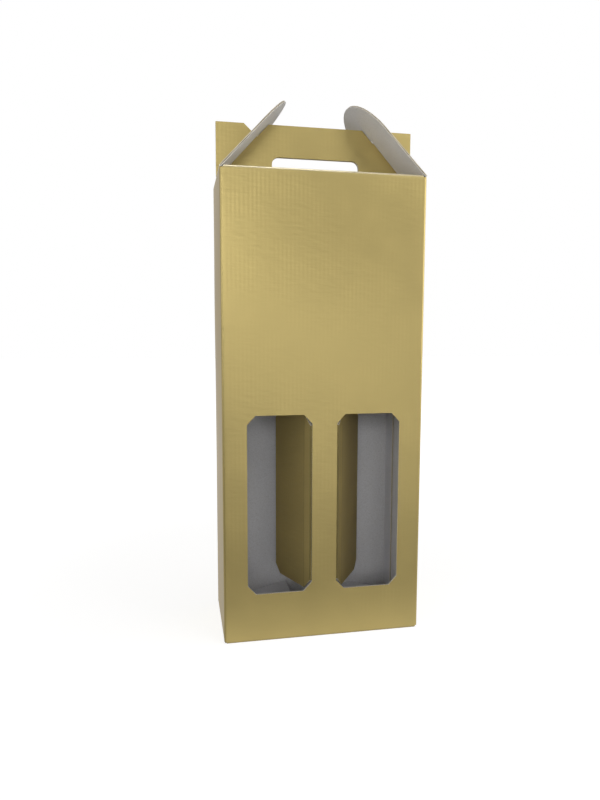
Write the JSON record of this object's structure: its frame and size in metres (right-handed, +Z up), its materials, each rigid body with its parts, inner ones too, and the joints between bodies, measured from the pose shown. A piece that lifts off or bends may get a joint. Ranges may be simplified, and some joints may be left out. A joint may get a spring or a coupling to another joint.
{
  "type": "two-bottle carrier carton",
  "caption": "Upright bottle carrier carton with a hand-hole handle, rounded leaning side flaps and octagonal front windows folded in as a divider.",
  "frame": {"origin": "centre of the foot print, on the floor", "axes": "+Z up through the handle, -Y out of the windowed front, +X to the right seen from the front"},
  "size_m": [0.17, 0.085, 0.4506],
  "materials": {
    "board": "satin gold face, grey inside"
  },
  "bodies": {
    "carton": {"carton": "board"},
    "left_side_flap": {"left_side_flap": "board"},
    "right_side_flap": {"right_side_flap": "board"},
    "left_divider_flap": {"left_divider_flap": "board"},
    "right_divider_flap": {"right_divider_flap": "board"}
  },
  "joints": [
    {"name": "left_side_crease", "type": "hinge", "parent": "carton", "child": "left_side_flap", "pos_m": [-0.08425, 0, 0.38825], "axis": [0, -1, 0], "range_deg": [0, 133]},
    {"name": "right_side_crease", "type": "hinge", "parent": "carton", "child": "right_side_flap", "pos_m": [0.08425, 0, 0.38825], "axis": [0, 1, 0], "range_deg": [0, 133]},
    {"name": "left_divider_crease", "type": "hinge", "parent": "carton", "child": "left_divider_flap", "pos_m": [-0.01155, -0.04175, 0.1168], "axis": [0, 0, -1], "range_deg": [-66, 34]},
    {"name": "right_divider_crease", "type": "hinge", "parent": "carton", "child": "right_divider_flap", "pos_m": [0.01155, -0.04175, 0.1168], "axis": [0, 0, 1], "range_deg": [-56.5, 43.5]}
  ]
}
